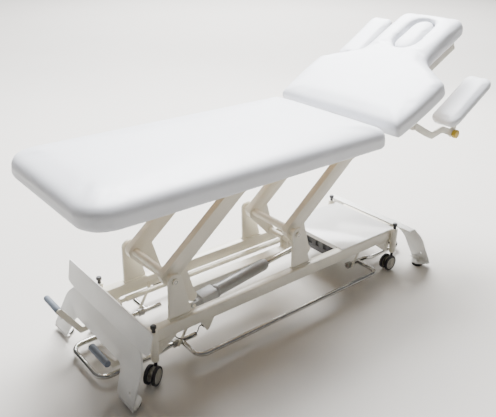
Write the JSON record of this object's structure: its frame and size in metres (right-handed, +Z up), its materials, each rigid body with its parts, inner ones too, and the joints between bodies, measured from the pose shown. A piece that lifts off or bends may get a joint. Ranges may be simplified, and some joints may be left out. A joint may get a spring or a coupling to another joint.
{
  "type": "massage table",
  "caption": "Height-adjustable massage table with a long body cushion, a tilting head section with a face slot and armrests, lift arms, castors and an all-round foot bar.",
  "frame": {"origin": "middle of the table's footprint, on the floor", "axes": "+X towards the head section, +Y to the far side, +Z up"},
  "size_m": [1.936, 0.7, 1.1031],
  "materials": {
    "cream_paint": "semi-gloss powder coat",
    "panel_paint": "semi-gloss powder coat",
    "vinyl_padding": "satin vinyl over foam",
    "plywood": "plain plywood",
    "chrome": "polished",
    "rubber": "matt",
    "grip_rubber": "matt",
    "castor_tread": "matt",
    "dark_plastic": "matt",
    "grey_plastic": "matt",
    "grey_tube": "satin",
    "gloss_plate": "gloss",
    "ochre_plastic": "satin"
  },
  "bodies": {
    "base": {"base_rail_near": "cream_paint", "base_rail_far": "cream_paint", "cross_member_foot": "cream_paint", "cross_member_head": "cream_paint", "end_panel_foot": "panel_paint", "end_panel_head": "panel_paint", "rubber_foot_near_foot": "rubber", "rubber_foot_far_foot": "rubber", "rubber_foot_near_head": "rubber", "rubber_foot_far_head": "rubber", "cover_plate": "gloss_plate", "control_box": "dark_plastic", "ring_switch_near": "dark_plastic", "ring_switch_far": "dark_plastic", "switch_lead": "dark_plastic", "actuator_bracket": "cream_paint"},
    "foot_bar": {"foot_bar": "chrome"},
    "castor_shaft_foot": {"castor_shaft_foot": "cream_paint", "pedal_grip_near": "grip_rubber", "pedal_grip_far": "grip_rubber"},
    "castor_shaft_head": {"castor_shaft_head": "cream_paint"},
    "castor_link": {"castor_link": "cream_paint"},
    "foot_arms": {"foot_arms": "cream_paint"},
    "head_arms": {"head_arms": "cream_paint"},
    "tie_beam": {"tie_beam": "cream_paint"},
    "actuator": {"actuator_motor": "grey_plastic", "actuator_tube": "grey_tube"},
    "actuator_rod": {"actuator_rod": "chrome"},
    "upper": {"upper_frame": "cream_paint", "body_board": "plywood", "body_cushion": "vinyl_padding"},
    "head": {"head_frame": "cream_paint", "head_board": "plywood", "head_cushion": "vinyl_padding"},
    "face_plug": {"face_plug": "vinyl_padding"},
    "gas_spring_cylinder": {"gas_spring_cylinder": "grey_tube"},
    "gas_spring_rod": {"gas_spring_rod": "chrome"},
    "armrest_near_arm": {"armrest_near_arm": "cream_paint"},
    "armrest_near_pad": {"armrest_near_pad_plate": "cream_paint", "armrest_near_pad": "vinyl_padding"},
    "armrest_near_knob": {"armrest_near_knob": "ochre_plastic"},
    "armrest_far_arm": {"armrest_far_arm": "cream_paint"},
    "armrest_far_pad": {"armrest_far_pad_plate": "cream_paint", "armrest_far_pad": "vinyl_padding"},
    "armrest_far_knob": {"armrest_far_knob": "ochre_plastic"},
    "castor_stem_near_foot": {"castor_stem_near_foot": "dark_plastic"},
    "castor_hood_near_foot": {"castor_hood_near_foot": "dark_plastic"},
    "castor_wheels_near_foot": {"castor_wheels_near_foot": "castor_tread"},
    "castor_stem_far_foot": {"castor_stem_far_foot": "dark_plastic"},
    "castor_hood_far_foot": {"castor_hood_far_foot": "dark_plastic"},
    "castor_wheels_far_foot": {"castor_wheels_far_foot": "castor_tread"},
    "castor_stem_near_head": {"castor_stem_near_head": "dark_plastic"},
    "castor_hood_near_head": {"castor_hood_near_head": "dark_plastic"},
    "castor_wheels_near_head": {"castor_wheels_near_head": "castor_tread"},
    "castor_stem_far_head": {"castor_stem_far_head": "dark_plastic"},
    "castor_hood_far_head": {"castor_hood_far_head": "dark_plastic"},
    "castor_wheels_far_head": {"castor_wheels_far_head": "castor_tread"}
  },
  "joints": [
    {"name": "lift", "type": "hinge", "parent": "base", "child": "foot_arms", "pos_m": [-0.60204, 0, 0.346], "axis": [0, -1, 0], "range_deg": [-36, 14]},
    {"name": "head_arms_pivot", "type": "hinge", "parent": "base", "child": "head_arms", "pos_m": [-0.01904, 0, 0.346], "axis": [0, -1, 0], "range_deg": [-36.72, 14.28]},
    {"name": "upper_frame_pivot", "type": "hinge", "parent": "foot_arms", "child": "upper", "pos_m": [-0.28567, 0, 0.60679], "axis": [0, -1, 0], "range_deg": [-14.28, 36.72]},
    {"name": "tie_beam_pivot", "type": "hinge", "parent": "foot_arms", "child": "tie_beam", "pos_m": [-0.5009, 0, 0.22331], "axis": [0, -1, 0], "range_deg": [-14.28, 36.72]},
    {"name": "actuator_swing", "type": "hinge", "parent": "base", "child": "actuator", "pos_m": [-0.47004, -0.07, 0.15], "axis": [0, -1, 0], "range_deg": [-4.13, 1.61]},
    {"name": "actuator_stroke", "type": "slide", "parent": "actuator", "child": "actuator_rod", "axis": [0.9913, 0, 0.1316], "range_m": [-0.09241, 0.03594]},
    {"name": "head_tilt", "type": "hinge", "parent": "upper", "child": "head", "pos_m": [0.32896, 0, 0.694], "axis": [0, -1, 0], "range_deg": [-43, 12]},
    {"name": "gas_spring_swing", "type": "hinge", "parent": "upper", "child": "gas_spring_cylinder", "pos_m": [0.32996, 0.06, 0.62], "axis": [0, -1, 0], "range_deg": [-42.72, 11.92]},
    {"name": "gas_spring_stroke", "type": "slide", "parent": "gas_spring_cylinder", "child": "gas_spring_rod", "axis": [0.8778, 0, 0.479], "range_m": [-0.05339, 0.0149]},
    {"name": "face_plug_lift", "type": "slide", "parent": "head", "child": "face_plug", "axis": [-0.4695, 0, 0.8829], "range_m": [0, 0.09]},
    {"name": "armrest_near_swing", "type": "hinge", "parent": "head", "child": "armrest_near_arm", "pos_m": [0.45496, -0.322, 0.745], "axis": [0, -1, 0], "range_deg": [0, 34]},
    {"name": "armrest_near_tilt", "type": "hinge", "parent": "armrest_near_arm", "child": "armrest_near_pad", "pos_m": [0.72822, -0.322, 0.66406], "axis": [0, -1, 0], "range_deg": [-18, 11]},
    {"name": "armrest_near_knob_turn", "type": "hinge", "parent": "armrest_near_pad", "child": "armrest_near_knob", "pos_m": [0.72822, -0.322, 0.66406], "axis": [0, -1, 0], "range_deg": [-180, 180]},
    {"name": "armrest_far_swing", "type": "hinge", "parent": "head", "child": "armrest_far_arm", "pos_m": [0.45496, 0.322, 0.745], "axis": [0, -1, 0], "range_deg": [-38.5, 0]},
    {"name": "armrest_far_tilt", "type": "hinge", "parent": "armrest_far_arm", "child": "armrest_far_pad", "pos_m": [0.71921, 0.322, 0.85176], "axis": [0, -1, 0], "range_deg": [-18, 18]},
    {"name": "armrest_far_knob_turn", "type": "hinge", "parent": "armrest_far_pad", "child": "armrest_far_knob", "pos_m": [0.71921, 0.322, 0.85176], "axis": [0, 1, 0], "range_deg": [-180, 180]},
    {"name": "castor_pedal", "type": "hinge", "parent": "base", "child": "castor_shaft_foot", "pos_m": [-0.67904, 0, 0.124], "axis": [0, 1, 0], "range_deg": [-12, 0]},
    {"name": "castor_shaft_turn", "type": "hinge", "parent": "base", "child": "castor_shaft_head", "pos_m": [0.52896, 0, 0.124], "axis": [0, 1, 0], "range_deg": [0, 12.24]},
    {"name": "castor_link_slide", "type": "slide", "parent": "base", "child": "castor_link", "axis": [1, 0, 0], "range_m": [-0.00431, 0.0001]},
    {"name": "castor_drop_near_foot", "type": "slide", "parent": "base", "child": "castor_stem_near_foot", "axis": [0, 0, 1], "range_m": [-0.00837, 0.0001]},
    {"name": "castor_swivel_near_foot", "type": "hinge", "parent": "castor_stem_near_foot", "child": "castor_hood_near_foot", "pos_m": [-0.71704, -0.201, 0.06], "axis": [0, 0, 1], "continuous": true},
    {"name": "castor_roll_near_foot", "type": "hinge", "parent": "castor_hood_near_foot", "child": "castor_wheels_near_foot", "pos_m": [-0.73717, -0.21407, 0.039], "axis": [0.5446, -0.8387, 0], "continuous": true},
    {"name": "castor_drop_far_foot", "type": "slide", "parent": "base", "child": "castor_stem_far_foot", "axis": [0, 0, 1], "range_m": [-0.00837, 0.0001]},
    {"name": "castor_swivel_far_foot", "type": "hinge", "parent": "castor_stem_far_foot", "child": "castor_hood_far_foot", "pos_m": [-0.71704, 0.201, 0.06], "axis": [0, 0, 1], "continuous": true},
    {"name": "castor_roll_far_foot", "type": "hinge", "parent": "castor_hood_far_foot", "child": "castor_wheels_far_foot", "pos_m": [-0.74068, 0.19683, 0.039], "axis": [0.1736, -0.9848, 0], "continuous": true},
    {"name": "castor_drop_near_head", "type": "slide", "parent": "base", "child": "castor_stem_near_head", "axis": [0, 0, 1], "range_m": [-0.00837, 0.0001]},
    {"name": "castor_swivel_near_head", "type": "hinge", "parent": "castor_stem_near_head", "child": "castor_hood_near_head", "pos_m": [0.56696, -0.201, 0.06], "axis": [0, 0, 1], "continuous": true},
    {"name": "castor_roll_near_head", "type": "hinge", "parent": "castor_hood_near_head", "child": "castor_wheels_near_head", "pos_m": [0.54296, -0.201, 0.039], "axis": [0, -1, 0], "continuous": true},
    {"name": "castor_drop_far_head", "type": "slide", "parent": "base", "child": "castor_stem_far_head", "axis": [0, 0, 1], "range_m": [-0.00837, 0.0001]},
    {"name": "castor_swivel_far_head", "type": "hinge", "parent": "castor_stem_far_head", "child": "castor_hood_far_head", "pos_m": [0.56696, 0.201, 0.06], "axis": [0, 0, 1], "continuous": true},
    {"name": "castor_roll_far_head", "type": "hinge", "parent": "castor_hood_far_head", "child": "castor_wheels_far_head", "pos_m": [0.54378, 0.20721, 0.039], "axis": [-0.2588, -0.9659, 0], "continuous": true},
    {"name": "foot_bar_press", "type": "slide", "parent": "base", "child": "foot_bar", "axis": [0, 0, 1], "range_m": [-0.005, 0.003], "stiffness_N_per_m": 20000, "springref_m": 0.002}
  ],
  "couplings": [
    {"joint": "head_arms_pivot", "follows": "lift", "ratio": 1},
    {"joint": "upper_frame_pivot", "follows": "lift", "ratio": -1},
    {"joint": "tie_beam_pivot", "follows": "lift", "ratio": -1},
    {"joint": "actuator_swing", "follows": "lift", "ratio": 0.10931},
    {"joint": "actuator_stroke", "follows": "lift", "m_per_rad": 0.14279},
    {"joint": "gas_spring_swing", "follows": "head_tilt", "ratio": 0.9462},
    {"joint": "gas_spring_stroke", "follows": "head_tilt", "m_per_rad": 0.069068},
    {"joint": "castor_shaft_turn", "follows": "castor_pedal", "ratio": -1},
    {"joint": "castor_link_slide", "follows": "castor_pedal", "m_per_rad": 0.02},
    {"joint": "castor_drop_near_foot", "follows": "castor_pedal", "m_per_rad": 0.0388},
    {"joint": "castor_drop_far_foot", "follows": "castor_pedal", "m_per_rad": 0.0388},
    {"joint": "castor_drop_near_head", "follows": "castor_pedal", "m_per_rad": 0.0388},
    {"joint": "castor_drop_far_head", "follows": "castor_pedal", "m_per_rad": 0.0388}
  ]
}
